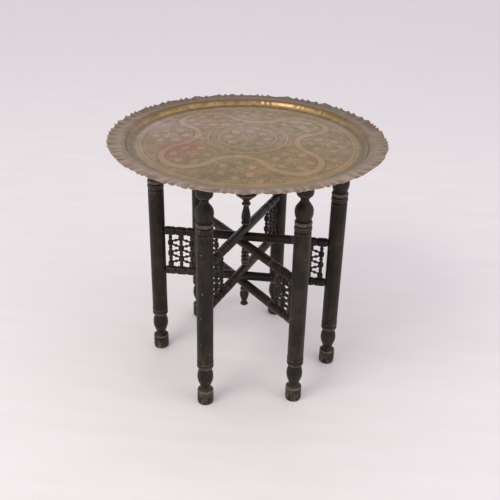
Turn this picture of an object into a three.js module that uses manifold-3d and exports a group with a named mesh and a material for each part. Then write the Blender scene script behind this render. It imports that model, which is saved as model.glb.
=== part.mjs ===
// A folding tray table: three turned wooden frames that cross on one pivot rod, under a loose brass tray.
// Units are millimetres, +Z is up, and the origin is on the floor, below the pivot rod.
import * as THREE from 'three';
import { mergeVertices } from 'three/addons/utils/BufferGeometryUtils.js';
import Module from 'manifold-3d';

const wasm = await Module();
wasm.setup();

// ---------------------------------------------------------------- driving dimensions

const GAP = 0.3; // space left between two pieces that touch

const TRAY_RADIUS = 292.5;
const TRAY_FLOOR_RADIUS = 241;
const TRAY_SHEET = 1.5;
const TRAY_DEPTH = 16.6; // from the floor's outer edge up to the rim's edge
const FLOOR_CROWN = 10.2; // the floor is pushed up towards its middle
const CROWN_POWER = 2.6;
const BEARING_RADIUS = 216; // the floor is flat from here out, where the legs' outer edges carry it
const FLOOR_STATIONS = [62, 105, 145, 182, BEARING_RADIUS]; // flat inside the first radius too
const SCALLOPS = 80;
const SCALLOP_DEPTH = 3;

const LEG_RADIUS = 17.6;
const LEG_HEIGHT = 536.5;
const LEG_CIRCLE = 201; // leg axis to pivot axis

const RAIL_RADIUS = 10.1;
const RAIL_STEP = 20.5; // one rail above the next at the pivot
const RAIL_PAIR = 101.4; // upper rail above the lower rail of the same frame
const UPPER_RAIL_A = 316.4;

const BARREL_RADIUS = 9.8; // the turned stretches of a rail that carry the lattice
const BARREL_LENGTH = 24.4;
const BARREL_COUNT = 3;
const BARREL_EASE = 2.2;
const RAIL_GROOVE_RADIUS = 7.6;
const TENON_RADIUS = 5.8;
const TENON_LENGTH = 12;

const PEG_RADIUS = 2.2;
const PEG_LENGTH = 4.8;
const BEAD_PITCH = 13.5;
const BEAD_COUNT = 6;
const BIG_BEAD_RADIUS = 6.3;
const BIG_BEAD_HALF = 4.8; // half the height over which a big bead is full
const BIG_WAIST_OFFSET = 8.6; // from a big bead's centre to the waist beside it
const SMALL_BEAD_RADIUS = 4.5;
const WAIST_RADIUS = 3.2;
const VERTICAL_END_RADIUS = 3.9;
const LINK_END_RADIUS = 2.1;
const LINK_BALL_RADIUS = 3.7;
const LINK_TRIM = 0.9; // keeps a link's slanted end clear of the bead that it meets

const ROD_RADIUS = 4;
const ROD_BOTTOM = 164;
const ROD_TOP = 371;

const LEG_SIDES = 12;
const RAIL_SIDES = 8;
const VERTICAL_SIDES = 6;
const LINK_SIDES = 5;
const SPINDLE_SIDES = 12;
const TRAY_SIDES = SCALLOPS;

// Frame B crosses one step above frame A, and frame C one step below it.
const FRAMES = [
  { name: 'a', turn: 0, level: 0 },
  { name: 'b', turn: 73.2, level: 1 },
  { name: 'c', turn: -48.7, level: -1 },
];

// ---------------------------------------------------------------- derived dimensions

// The crowned floor rests on the outer edge of each leg's top.
const floorRise = (radius) => FLOOR_CROWN * (1 - (radius / BEARING_RADIUS) ** CROWN_POWER);
const TRAY_UNDERSIDE = LEG_HEIGHT + GAP;
const TRAY_FLOOR = TRAY_UNDERSIDE + TRAY_SHEET;
const TRAY_TOP = TRAY_FLOOR + TRAY_DEPTH;
const LEG_FACE = LEG_CIRCLE - LEG_RADIUS; // the side of a leg that looks at the pivot
const BARREL_START = LEG_FACE - BARREL_COUNT * BARREL_LENGTH;
const RAIL_HALF = LEG_FACE - GAP;
const VERTICAL_HALF = RAIL_PAIR / 2 - BARREL_RADIUS - GAP;
const VERTICAL_PLACES = [0, 1, 2].map((index) => BARREL_START + (index + 0.5) * BARREL_LENGTH);
const [INNER_PLACE, MIDDLE_PLACE, OUTER_PLACE] = VERTICAL_PLACES;

// ---------------------------------------------------------------- materials

const finish = (color, roughness, metalness = 0) => (
  new THREE.MeshStandardMaterial({ color, roughness, metalness })
);
const BRASS = finish(0x8f7a5c, 0.38, 1);
const LEG_WOOD = finish(0x211a17, 0.45);
const RAIL_WOOD = finish(0x1b1614, 0.38);
const LATTICE_WOOD = finish(0x2a1f19, 0.5);
const SPINDLE_WOOD = finish(0x1e1815, 0.42);
const IRON = finish(0x3a3836, 0.6, 1);

// ---------------------------------------------------------------- solids

// A profile is a list of [radius, height], from the bottom up.
function lathe(profile, sides) {
  const points = profile.map(([radius, height]) => new THREE.Vector2(radius, height));
  return new THREE.LatheGeometry(points, sides);
}

function turned(profile, sides) {
  return lathe(profile, sides).rotateX(Math.PI / 2);
}

function toSolid(geometry) {
  geometry.deleteAttribute('normal');
  geometry.deleteAttribute('uv');
  const merged = mergeVertices(geometry, 1e-4);
  const corners = merged.index.array;
  const kept = [];
  for (let i = 0; i < corners.length; i += 3) {
    const [a, b, c] = [corners[i], corners[i + 1], corners[i + 2]];
    if (a !== b && b !== c && c !== a) kept.push(a, b, c);
  }
  return new wasm.Manifold(new wasm.Mesh({
    numProp: 3,
    vertProperties: new Float32Array(merged.attributes.position.array),
    triVerts: new Uint32Array(kept),
  }));
}

function toGeometry(solid) {
  const { vertProperties, triVerts } = solid.getMesh();
  const geometry = new THREE.BufferGeometry();
  geometry.setAttribute('position', new THREE.BufferAttribute(vertProperties, 3));
  geometry.setIndex(new THREE.BufferAttribute(triVerts, 1));
  geometry.computeVertexNormals();
  return geometry;
}

const without = (solid, cutters) => cutters.reduce((rest, cutter) => rest.subtract(cutter), solid);
const joined = (solid, additions) => additions.reduce((sum, addition) => sum.add(addition), solid);

// The corner radius of a hole whose flats clear a rod of this radius at any turn.
const clearRadius = (radius, sides) => (radius + GAP) / Math.cos(Math.PI / sides);

function uprightHole(radius, sides, x, bottom, top) {
  const profile = [[0, bottom], [radius, bottom], [radius, top], [0, top]];
  return toSolid(turned(profile, sides).translate(x, 0, 0));
}

const rodHole = (bottom, top) => (
  uprightHole(clearRadius(ROD_RADIUS, SPINDLE_SIDES), SPINDLE_SIDES, 0, bottom, top)
);

// ---------------------------------------------------------------- tray

// The sheet's upper face from the centre outwards: crowned floor, rounded wall, everted rim.
const TRAY_FACE = [
  ...FLOOR_STATIONS.map((radius) => [radius, floorRise(radius)]),
  [TRAY_FLOOR_RADIUS, 0],
  [TRAY_FLOOR_RADIUS + 8, 1.2],
  [TRAY_FLOOR_RADIUS + 13.5, 6.6],
  [TRAY_FLOOR_RADIUS + 17, 11.2],
  [TRAY_FLOOR_RADIUS + 24, 13.4],
  [TRAY_RADIUS, TRAY_DEPTH],
];

function trayOutline() {
  const outline = new THREE.Shape();
  const steps = SCALLOPS * 2;
  for (let step = 0; step < steps; step += 1) {
    const radius = TRAY_RADIUS - (step % 2) * SCALLOP_DEPTH;
    const angle = (step / steps) * 2 * Math.PI;
    outline[step ? 'lineTo' : 'moveTo'](radius * Math.cos(angle), radius * Math.sin(angle));
  }
  return outline;
}

function trayGeometry() {
  const reach = 1 / Math.cos(Math.PI / TRAY_SIDES); // the round sheet's flats lie outside the scallops
  const upper = TRAY_FACE.map(([radius, rise]) => [radius * reach, TRAY_FLOOR + rise]);
  const onWall = (radius) => radius > TRAY_FLOOR_RADIUS + 5 && radius < TRAY_FLOOR_RADIUS + 20;
  const lower = upper.map(([radius, height]) => (
    [radius + (onWall(radius) ? TRAY_SHEET * 0.7 : 0), height - TRAY_SHEET]
  ));
  const sheet = toSolid(turned([
    [0, lower[0][1]],
    ...lower,
    ...[...upper].reverse(),
    [0, upper[0][1]],
  ], TRAY_SIDES));
  const height = TRAY_TOP - TRAY_UNDERSIDE + 2;
  const cutter = new THREE.ExtrudeGeometry(trayOutline(), { depth: height, bevelEnabled: false });
  return toGeometry(sheet.intersect(toSolid(cutter.translate(0, 0, TRAY_UNDERSIDE - 1))));
}

// ---------------------------------------------------------------- legs

const LEG_PROFILE = [
  [0, 0], [17, 0], [LEG_RADIUS, 4], // foot
  [LEG_RADIUS, 32.5], [12.4, 36.5],
  [10.6, 40], [14, 51], [16.8, 60], // neck and lower bulb
  [17.5, 67.5], [16, 80], [12.8, 90.5],
  [14, 93], [17.9, 95], [17.9, 101], // double ring
  [16.2, 103.5], [18, 105.5], [18, 111], [16.6, 113.2],
  [LEG_RADIUS, 114.5], [LEG_RADIUS, 415.5], // plain shaft
  [15.3, 417.6], [18, 421.5], [18, 428], // two rings
  [15.2, 431], [18, 434], [18, 438.8],
  [13.9, 441.8], [17.2, 450], [18.9, 460.5], // upper bulb
  [18.1, 467], [13, 477], [8.6, 485.5],
  [14, 494.5], [LEG_RADIUS, 500.5], // cap
  [LEG_RADIUS, LEG_HEIGHT], [0, LEG_HEIGHT],
];

// The leg stands on its own axis with its mortises opening towards -X.
function legGeometry(railHeights) {
  const radius = TENON_RADIUS + GAP / Math.cos(Math.PI / RAIL_SIDES);
  const depth = LEG_RADIUS - TENON_LENGTH - GAP; // from the leg's axis to the mortise's end
  const mortises = railHeights.map((height) => toSolid(
    lathe([[0, 0], [radius, 0], [radius, LEG_RADIUS], [0, LEG_RADIUS]], RAIL_SIDES)
      .rotateZ(Math.PI / 2)
      .translate(-depth, 0, height),
  ));
  return toGeometry(without(toSolid(turned(LEG_PROFILE, LEG_SIDES)), mortises));
}

// ---------------------------------------------------------------- rails

function railEndProfile() {
  const points = [[RAIL_RADIUS, BARREL_START - 1.5]];
  for (let barrel = 0; barrel < BARREL_COUNT; barrel += 1) {
    const start = BARREL_START + barrel * BARREL_LENGTH;
    points.push([RAIL_GROOVE_RADIUS, start]);
    points.push([BARREL_RADIUS, start + BARREL_EASE]);
    points.push([BARREL_RADIUS, start + BARREL_LENGTH - BARREL_EASE]);
  }
  points.push([RAIL_GROOVE_RADIUS, RAIL_HALF]);
  points.push([TENON_RADIUS, RAIL_HALF]);
  points.push([TENON_RADIUS, RAIL_HALF + TENON_LENGTH]);
  points.push([0, RAIL_HALF + TENON_LENGTH]);
  return points;
}

// The rail lies along X. Its sockets open down on an upper rail and up on a lower one.
function railGeometry(socketSide) {
  const end = railEndProfile();
  const otherEnd = end.map(([radius, along]) => [radius, -along]).reverse();
  const bar = lathe([...otherEnd, ...end], RAIL_SIDES).rotateZ(-Math.PI / 2);
  const socketRadius = PEG_RADIUS + GAP / Math.cos(Math.PI / VERTICAL_SIDES);
  const mouth = socketSide * (BARREL_RADIUS + 2);
  const bottom = socketSide * (BARREL_RADIUS - PEG_LENGTH);
  const sockets = [-1, 1].flatMap((side) => VERTICAL_PLACES.map((place) => uprightHole(
    socketRadius,
    VERTICAL_SIDES,
    side * place,
    Math.min(mouth, bottom),
    Math.max(mouth, bottom),
  )));
  const pivotHole = rodHole(-RAIL_RADIUS - 1, RAIL_RADIUS + 1);
  return toGeometry(without(toSolid(bar), [pivotHole, ...sockets]));
}

// ---------------------------------------------------------------- lattice

const beadHeight = (index) => (index - (BEAD_COUNT - 1) / 2) * BEAD_PITCH;

// A beaded stick, centred on the height midway between its two rails.
// Big and small beads alternate, and bigFirst says which kind is at the bottom.
function verticalProfile(bigFirst) {
  const points = [
    [0, -VERTICAL_HALF - PEG_LENGTH],
    [PEG_RADIUS, -VERTICAL_HALF - PEG_LENGTH],
    [PEG_RADIUS, -VERTICAL_HALF],
    [VERTICAL_END_RADIUS, -VERTICAL_HALF],
  ];
  for (let index = 0; index < BEAD_COUNT; index += 1) {
    const height = beadHeight(index);
    const big = (index % 2 === 0) === bigFirst;
    if (big) {
      points.push([BIG_BEAD_RADIUS, height - BIG_BEAD_HALF]);
      points.push([BIG_BEAD_RADIUS, height + BIG_BEAD_HALF]);
    } else {
      points.push([SMALL_BEAD_RADIUS, height]);
    }
    if (index < BEAD_COUNT - 1) {
      points.push([WAIST_RADIUS, height + (big ? BIG_WAIST_OFFSET : BEAD_PITCH - BIG_WAIST_OFFSET)]);
    }
  }
  points.push([VERTICAL_END_RADIUS, VERTICAL_HALF]);
  points.push([PEG_RADIUS, VERTICAL_HALF]);
  points.push([PEG_RADIUS, VERTICAL_HALF + PEG_LENGTH]);
  points.push([0, VERTICAL_HALF + PEG_LENGTH]);
  return points;
}

const verticalGeometry = () => turned(verticalProfile(true), VERTICAL_SIDES);

// A short slanted link with a ball at its middle, from one point to another in the plane of the frame.
function link(from, to) {
  const way = new THREE.Vector3().subVectors(to, from);
  const length = way.length();
  const turn = new THREE.Quaternion().setFromUnitVectors(new THREE.Vector3(0, 1, 0), way.normalize());
  const profile = [
    [0, 0], [LINK_END_RADIUS, 0],
    [LINK_BALL_RADIUS, length / 2],
    [LINK_END_RADIUS, length], [0, length],
  ];
  return toSolid(lathe(profile, LINK_SIDES).applyQuaternion(turn).translate(from.x, from.y, from.z));
}

// The middle stick of a panel with the links glued to it. It stands at x = 0.
function latticeCoreGeometry() {
  const flat = BIG_BEAD_RADIUS * Math.cos(Math.PI / VERTICAL_SIDES);
  const links = [];
  for (const side of [-1, 1]) {
    for (let index = 0; index < BEAD_COUNT - 1; index += 1) {
      // On the middle stick the big beads have odd numbers, on its neighbours even ones.
      const rising = index % 2 === 1 ? 1 : -1;
      const lowerFace = beadHeight(index) + BIG_BEAD_HALF;
      const upperFace = beadHeight(index + 1) - BIG_BEAD_HALF;
      const ownHeight = rising > 0 ? lowerFace : upperFace;
      const otherHeight = rising > 0 ? upperFace : lowerFace;
      const reach = BARREL_LENGTH - flat - LINK_TRIM;
      links.push(link(
        new THREE.Vector3(side * (flat - 2), 0, ownHeight),
        new THREE.Vector3(side * reach, 0, otherHeight),
      ));
    }
  }
  return toGeometry(joined(toSolid(turned(verticalProfile(false), VERTICAL_SIDES)), links));
}

// ---------------------------------------------------------------- spindle

const UPPER_STACK_TOP = UPPER_RAIL_A + RAIL_STEP + RAIL_RADIUS;
const UPPER_STACK_BOTTOM = UPPER_RAIL_A - RAIL_STEP - RAIL_RADIUS;
const LOWER_STACK_TOP = UPPER_STACK_TOP - RAIL_PAIR;
const LOWER_STACK_BOTTOM = UPPER_STACK_BOTTOM - RAIL_PAIR;

function finialTopGeometry() {
  const base = UPPER_STACK_TOP + GAP;
  const profile = [
    [0, base], [8.6, base], [10.4, 349.2], [10.4, 352.2], [8.4, 355], // ring
    [10.2, 362], [9.1, 374], [5.8, 391], // baluster
    [10, 395.5], [10, 399], [7, 404], // ring
    [11.5, 409.5], [23.6, 419], [23.6, 423], [12, 431], [0, 433], // flared disc
  ];
  return toGeometry(toSolid(turned(profile, SPINDLE_SIDES)).subtract(rodHole(base - 1, ROD_TOP + GAP)));
}

function spoolGeometry() {
  const bottom = LOWER_STACK_TOP + GAP;
  const top = UPPER_STACK_BOTTOM - GAP;
  const profile = [
    [0, bottom], [8, bottom], [8.2, 247.6], [5.8, 250.2],
    [9.4, 255.2], [5.8, 260.3], [9.4, 265.4], [5.8, 270.6], [9.4, 275.8], [5.8, 281],
    [8.2, 283.6], [8, top], [0, top],
  ];
  return toGeometry(toSolid(turned(profile, SPINDLE_SIDES)).subtract(rodHole(bottom - 1, top + 1)));
}

function finialDropGeometry() {
  const top = LOWER_STACK_BOTTOM - GAP;
  const profile = [
    [0, 137], [6.6, 137.4], [9.2, 140.5], [6.6, 145], // button
    [6.2, 148.6], [8.8, 158], [10.6, 167], [7.4, 175.4], // vase
    [9.8, 178.4], [9.8, 181.4], [8.2, top], [0, top], // ring
  ];
  return toGeometry(toSolid(turned(profile, SPINDLE_SIDES)).subtract(rodHole(ROD_BOTTOM - GAP, top + 1)));
}

function rodGeometry() {
  const profile = [[0, ROD_BOTTOM], [ROD_RADIUS, ROD_BOTTOM], [ROD_RADIUS, ROD_TOP], [0, ROD_TOP]];
  return turned(profile, SPINDLE_SIDES);
}

// ---------------------------------------------------------------- assembly

function place(group, name, geometry, material, x = 0, z = 0, turn = 0) {
  const mesh = new THREE.Mesh(geometry, material);
  mesh.name = name;
  mesh.position.set(x, 0, z);
  mesh.rotation.z = turn;
  group.add(mesh);
}

// One frame: two legs, two rails and, on each side of the pivot, a panel of three sticks.
function frameGroup({ name, turn, level }) {
  const group = new THREE.Group();
  const upper = UPPER_RAIL_A + level * RAIL_STEP;
  const lower = upper - RAIL_PAIR;
  const middle = (upper + lower) / 2;
  place(group, `rail_${name}_upper`, railGeometry(-1), RAIL_WOOD, 0, upper);
  place(group, `rail_${name}_lower`, railGeometry(1), RAIL_WOOD, 0, lower);
  for (const [number, side] of [[1, 1], [2, -1]]) {
    const end = `${name}${number}`;
    const facing = side > 0 ? 0 : Math.PI;
    place(group, `leg_${end}`, legGeometry([upper, lower]), LEG_WOOD, side * LEG_CIRCLE, 0, facing);
    place(group, `panel_${end}_core`, latticeCoreGeometry(), LATTICE_WOOD, side * MIDDLE_PLACE, middle);
    place(group, `panel_${end}_inner`, verticalGeometry(), LATTICE_WOOD, side * INNER_PLACE, middle);
    place(group, `panel_${end}_outer`, verticalGeometry(), LATTICE_WOOD, side * OUTER_PLACE, middle);
  }
  group.rotation.z = THREE.MathUtils.degToRad(turn);
  return group;
}

const table = new THREE.Group();
for (const frame of FRAMES) {
  table.add(frameGroup(frame));
}
place(table, 'pivot_rod', rodGeometry(), IRON);
place(table, 'finial_top', finialTopGeometry(), SPINDLE_WOOD);
place(table, 'spool', spoolGeometry(), SPINDLE_WOOD);
place(table, 'finial_drop', finialDropGeometry(), SPINDLE_WOOD);
place(table, 'tray', trayGeometry(), BRASS);

export default table;
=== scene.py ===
"""The looks of a brass tray table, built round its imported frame. Lengths are in metres, and +Z is up."""
import math
import random

import bpy
import numpy as np
from mathutils import Euler, Matrix, Vector, noise


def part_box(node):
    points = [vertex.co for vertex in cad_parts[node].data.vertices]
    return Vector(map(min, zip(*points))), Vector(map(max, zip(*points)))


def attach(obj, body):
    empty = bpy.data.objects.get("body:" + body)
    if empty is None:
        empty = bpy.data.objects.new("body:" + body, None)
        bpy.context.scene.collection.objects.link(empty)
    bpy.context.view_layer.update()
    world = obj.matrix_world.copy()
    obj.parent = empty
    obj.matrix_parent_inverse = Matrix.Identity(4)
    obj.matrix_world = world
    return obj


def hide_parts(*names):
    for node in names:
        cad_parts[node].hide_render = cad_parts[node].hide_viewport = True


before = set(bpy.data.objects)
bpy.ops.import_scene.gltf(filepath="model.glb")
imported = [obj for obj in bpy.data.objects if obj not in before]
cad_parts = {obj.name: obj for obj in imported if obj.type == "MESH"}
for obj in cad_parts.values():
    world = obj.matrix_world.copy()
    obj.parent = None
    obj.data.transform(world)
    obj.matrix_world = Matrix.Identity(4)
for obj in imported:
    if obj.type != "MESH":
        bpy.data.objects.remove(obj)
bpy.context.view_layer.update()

# ---------------------------------------------------------------- driving dimensions

# Tray: a crowned floor, a rounded wall and an everted rim with a scalloped edge.
FLOOR_RADIUS = 0.241
BEARING_RADIUS = 0.216  # the crown ends here
FLOOR_CROWN = 0.0102
CROWN_POWER = 2.6
SHEET = 0.0015
EDGE_RADIUS = 0.2925
CREST_RISE = 0.0166  # from the floor's outer edge to the highest crest
RIM_RISE = 0.0138  # from the floor's outer edge to the middle of the fluted edge
SCALLOPS = 80
SCALLOP_DEPTH = 0.0044
FLUTE_HEIGHT = 0.0019
FLUTE_START = 0.266  # the radius at which the flutes begin
EDGE_NICK = 0.0024  # the deepest small nick in the edge
DENT_DEPTH = 0.00025  # of the hammer marks
SWAY_DEPTH = 0.0006  # of the sheet's slow unevenness
BAND_HEIGHT = 0.00028  # of the engraving's raised bands
RIPPLE_DEPTH = 0.00035  # of the faint flutes on the wall
RIM_WAVE = 0.0006  # how far the rim as a whole rises and falls
NICK_LIFT = 0.0005  # how far the nicks bend the edge
UPPER_STEPS = (0.044, 0.091, 0.266)  # past each radius a ring of the sheet's top has twice the points
UNDER_STEPS = (0.090, 0.244, 0.276)  # the same for its underside

# Engraving. The lobed band is made of eight arcs: four round lobes on the diagonals, and between them
# four hollow arcs whose centres are on X and Y.
RINGS = (0.0600, 0.0830, 0.2225)
RING_HALF = 0.0022
LOBE_CENTRE = 0.1020  # along X and along Y
LOBE_RADIUS = 0.0575
HOLLOW_CENTRE = 0.1680
HOLLOW_RADIUS = 0.0640
BAND_HALF = 0.0066
ROUNDEL_RADIUS = 0.0500
SIDE_ROUNDEL_CENTRE = 0.1640
SIDE_ROUNDEL_RADIUS = 0.0470
BORDER_LEAVES = 66

# Stand.
LEG_RADIUS = 0.0176
BARREL_LENGTH = 0.0244
BARREL_COUNT = 3
BARREL_RADIUS = 0.0098
GROOVE_RADIUS = 0.0074
RAIL_RADIUS = 0.0101
BEAD_PITCH = 0.0135
BEAD_COUNT = 6
BIG_BEAD_RADIUS = 0.0063
BIG_BEAD_HALF = 0.0048
SMALL_BEAD_RADIUS = 0.0045
WAIST_RADIUS = 0.0032
STICK_END_RADIUS = 0.0039
BIG_BEAD_REACH = 0.0083  # from a big bead's middle to the waist beside it
SMALL_BEAD_REACH = 0.0042
LINK_RADIUS = 0.0020
LINK_BALL_RADIUS = 0.0037
ROD_RADIUS = 0.0040
TENON_LENGTH = 0.0040
PEG_LENGTH = 0.0030

LEG_SIDES = 40
RAIL_SIDES = 28
STICK_SIDES = 20
LINK_SIDES = 12
SPINDLE_SIDES = 32

CORNER_EASE = 0.0004  # how far a turned corner is worn round
SEED = 7

FRAME_NAMES = "abc"


# ---------------------------------------------------------------- profiles

def spline(points, step):
    """Points about every step along a smooth curve through the given points."""
    points = np.array(points, float)
    if len(points) == 2:
        count = max(1, math.ceil(np.linalg.norm(points[1] - points[0]) / (4 * step)))
        return points[0] + (points[1] - points[0]) * np.linspace(0, 1, count + 1)[:, None]
    chords = np.linalg.norm(np.diff(points, axis=0), axis=1)
    slopes = np.diff(points, axis=0) / chords[:, None]
    tangents = np.empty_like(points)
    tangents[0], tangents[-1] = slopes[0], slopes[-1]
    before, after = chords[:-1, None], chords[1:, None]
    tangents[1:-1] = (slopes[:-1] * after + slopes[1:] * before) / (before + after)
    pieces = []
    for i, chord in enumerate(chords):
        count = max(1, math.ceil(chord / step))
        t = (np.arange(count) / count)[:, None]
        pieces.append(
            (2 * t**3 - 3 * t**2 + 1) * points[i]
            + (t**3 - 2 * t**2 + t) * chord * tangents[i]
            + (3 * t**2 - 2 * t**3) * points[i + 1]
            + (t**3 - t**2) * chord * tangents[i + 1]
        )
    return np.vstack(pieces + [points[-1:]])


def outline(strokes, step):
    """One profile from strokes that meet at corners. Each corner is rounded a little."""
    curves = [spline(stroke, step) for stroke in strokes]
    points = [curves[0][0]]
    for before, after in zip(curves, curves[1:]):
        corner = before[-1]
        back, ahead = before[-2] - corner, after[1] - corner
        start = corner + back * min(0.45, CORNER_EASE / np.linalg.norm(back))
        end = corner + ahead * min(0.45, CORNER_EASE / np.linalg.norm(ahead))
        points.extend(before[1:-1])
        points.extend([start, (start + 2 * corner + end) / 4, end])
    points.extend(curves[-1][1:])
    return np.array(points)


def proudness(profile, reach):
    """How far each point of a profile stands out from its neighbours, from -1 in a groove to 1 on a ridge."""
    steps = np.linalg.norm(np.diff(profile, axis=0), axis=1)
    along = np.concatenate([[0], np.cumsum(steps)])
    share = np.gradient(along)
    weight = np.exp(-((along[:, None] - along[None, :]) / reach) ** 2) * share[None, :]
    mean = weight @ profile / weight.sum(1)[:, None]
    tangent = np.gradient(profile, along, axis=0)
    normal = np.stack([tangent[:, 1], -tangent[:, 0]], 1)
    normal /= np.linalg.norm(normal, axis=1)[:, None] + 1e-9
    return np.clip(((profile - mean) * normal).sum(1) / (0.25 * reach), -1, 1)


# ---------------------------------------------------------------- surfaces

def skin(rings):
    """Vertices and faces of a closed surface through rings of points, from its lowest pole to its highest.
    Rings side by side have the same number of points, or one has twice as many as the other."""
    faces = []
    start = 0
    for low, high in zip(rings, rings[1:]):
        count = max(len(low), len(high))
        top = start + len(low)
        for j in range(count):
            k = (j + 1) % count
            corners = (
                start + j * len(low) // count,
                start + k * len(low) // count,
                top + k * len(high) // count,
                top + j * len(high) // count,
            )
            faces.append(tuple(dict.fromkeys(corners)))
        start = top
    return np.vstack(rings), faces


def circle(radius, height, sides):
    angle = np.arange(sides) * 2 * math.pi / sides
    return np.stack([radius * np.cos(angle), radius * np.sin(angle), np.full(sides, height)], 1)


def turned(profile, sides, reach=0.003):
    """A turned surface round Z, as vertices, faces and proudness. The profile starts and ends on the axis."""
    counts = [1] + [sides] * (len(profile) - 2) + [1]
    rings = [circle(radius, height, count) for (radius, height), count in zip(profile, counts)]
    vertices, faces = skin(rings)
    return vertices, faces, np.repeat(proudness(profile, reach), counts)


def joined(surfaces):
    """Several surfaces as one."""
    vertices, faces, proud = [], [], []
    count = 0
    for points, corners, stands in surfaces:
        vertices.append(points)
        faces.extend(tuple(c + count for c in face) for face in corners)
        proud.append(stands)
        count += len(points)
    return np.vstack(vertices), faces, np.concatenate(proud)


def roughened(surface, amount, size):
    """The surface with the slight unevenness of hand work. It grows no taller."""
    points, faces, proud = surface
    moved = points + np.array([noise.noise_vector(Vector(point) / size) * amount for point in points])
    moved[:, 2] = np.clip(moved[:, 2], points[:, 2].min(), points[:, 2].max())
    return moved, faces, proud


def mesh_of(name, surface, material):
    points, faces, proud = surface
    mesh = bpy.data.meshes.new(name)
    mesh.from_pydata([tuple(point) for point in points], [], faces)
    mesh.attributes.new("proud", "FLOAT", "POINT").data.foreach_set("value", proud.astype(np.float32))
    mesh.shade_smooth()
    mesh.set_sharp_from_angle(angle=math.radians(50))
    mesh.materials.append(material)
    return mesh


def show(name, mesh, node, body, place=(0, 0, 0), turn=(0, 0, 0)):
    """Puts a mesh in place of a frame node."""
    piece = bpy.data.objects.new(name, mesh)
    bpy.context.scene.collection.objects.link(piece)
    piece.matrix_world = Matrix.Translation(place) @ Euler(turn).to_matrix().to_4x4()
    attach(piece, body)
    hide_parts(node)


def centre(node):
    low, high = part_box(node)
    return (low + high) / 2


# ---------------------------------------------------------------- shader building

class Shader:
    """A material under construction, with short calls for the nodes used here."""

    def __init__(self, name):
        self.material = bpy.data.materials.new(name)
        self.material.use_nodes = True
        self.tree = self.material.node_tree
        self.tree.nodes.clear()
        self.surface = self.add("ShaderNodeBsdfPrincipled")
        output = self.add("ShaderNodeOutputMaterial")
        self.tree.links.new(self.surface.outputs["BSDF"], output.inputs["Surface"])

    def add(self, kind, inputs=None, **settings):
        node = self.tree.nodes.new(kind)
        for key, value in settings.items():
            setattr(node, key, value)
        for key, value in (inputs or {}).items():
            self.put(node.inputs[key], value)
        return node

    def put(self, socket, value):
        if isinstance(value, bpy.types.NodeSocket):
            self.tree.links.new(value, socket)
        else:
            socket.default_value = value

    def math(self, operation, first, second=0.0, third=0.0):
        inputs = {0: first, 1: second, 2: third}
        return self.add("ShaderNodeMath", inputs, operation=operation).outputs[0]

    def total(self, *values):
        result = values[0]
        for value in values[1:]:
            result = self.math("ADD", result, value)
        return result

    def product(self, *values):
        result = values[0]
        for value in values[1:]:
            result = self.math("MULTIPLY", result, value)
        return result

    def minus(self, first, second):
        return self.math("SUBTRACT", first, second)

    def apart(self, first, second):
        """How far two numbers are from each other."""
        return self.math("ABSOLUTE", self.minus(first, second))

    def vector(self, operation, first, second=(0, 0, 0)):
        inputs = {0: first, 1: second}
        node = self.add("ShaderNodeVectorMath", inputs, operation=operation)
        return node.outputs["Value" if operation == "LENGTH" else "Vector"]

    def scaled(self, vector, by):
        return self.vector("MULTIPLY", vector, by)

    def ramp(self, value, low, high, start=0.0, end=1.0):
        """A smooth change from start to end while value goes from low to high."""
        inputs = {"Value": value, "From Min": low, "From Max": high, "To Min": start, "To Max": end}
        return self.add("ShaderNodeMapRange", inputs, interpolation_type="SMOOTHSTEP").outputs["Result"]

    def mix(self, factor, first, second):
        node = self.add("ShaderNodeMix", data_type="RGBA")
        self.put(node.inputs["Factor"], factor)
        self.put(node.inputs["A"], first if isinstance(first, bpy.types.NodeSocket) else (*first, 1))
        self.put(node.inputs["B"], second if isinstance(second, bpy.types.NodeSocket) else (*second, 1))
        return node.outputs["Result"]

    def noise(self, vector, scale, detail=3.0, roughness=0.5):
        inputs = {"Vector": vector, "Scale": scale, "Detail": detail, "Roughness": roughness}
        return self.add("ShaderNodeTexNoise", inputs).outputs["Fac"]

    def drift(self, vector, scale, amount):
        """The vector moved about by a slow noise, by up to about amount metres."""
        inputs = {"Vector": vector, "Scale": scale, "Detail": 2.0}
        colour = self.add("ShaderNodeTexNoise", inputs).outputs["Color"]
        shift = self.vector("SUBTRACT", colour, (0.5, 0.5, 0.5))
        return self.vector("ADD", vector, self.scaled(shift, (2 * amount,) * 3))

    def cells(self, vector, scale, dimensions="3D"):
        inputs = {"Vector": vector, "Scale": scale}
        return self.add("ShaderNodeTexVoronoi", inputs, voronoi_dimensions=dimensions).outputs

    def split(self, vector):
        return self.add("ShaderNodeSeparateXYZ", {0: vector}).outputs

    def point(self):
        return self.add("ShaderNodeTexCoord").outputs["Object"]

    def own_point(self):
        """The point in the piece's own space, moved to another part of the patterns for each piece."""
        chance = self.add("ShaderNodeObjectInfo").outputs["Random"]
        shift = self.add("ShaderNodeCombineXYZ", {0: chance, 1: chance, 2: chance}).outputs[0]
        return self.vector("ADD", self.point(), self.scaled(shift, (3.1, 7.3, 5.7)))

    def proud(self):
        return self.add("ShaderNodeAttribute", attribute_name="proud").outputs["Fac"]

    def bump(self, height, distance, below=None):
        inputs = {"Height": height, "Distance": distance, "Strength": 1.0}
        if below is not None:
            inputs["Normal"] = below
        return self.add("ShaderNodeBump", inputs).outputs["Normal"]

    def finish(self, colour, roughness, normal, **constants):
        self.put(self.surface.inputs["Base Color"], colour)
        self.put(self.surface.inputs["Roughness"], roughness)
        self.put(self.surface.inputs["Normal"], normal)
        for name, value in constants.items():
            self.surface.inputs[name.replace("_", " ")].default_value = value
        return self.material


# ---------------------------------------------------------------- wood

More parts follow.
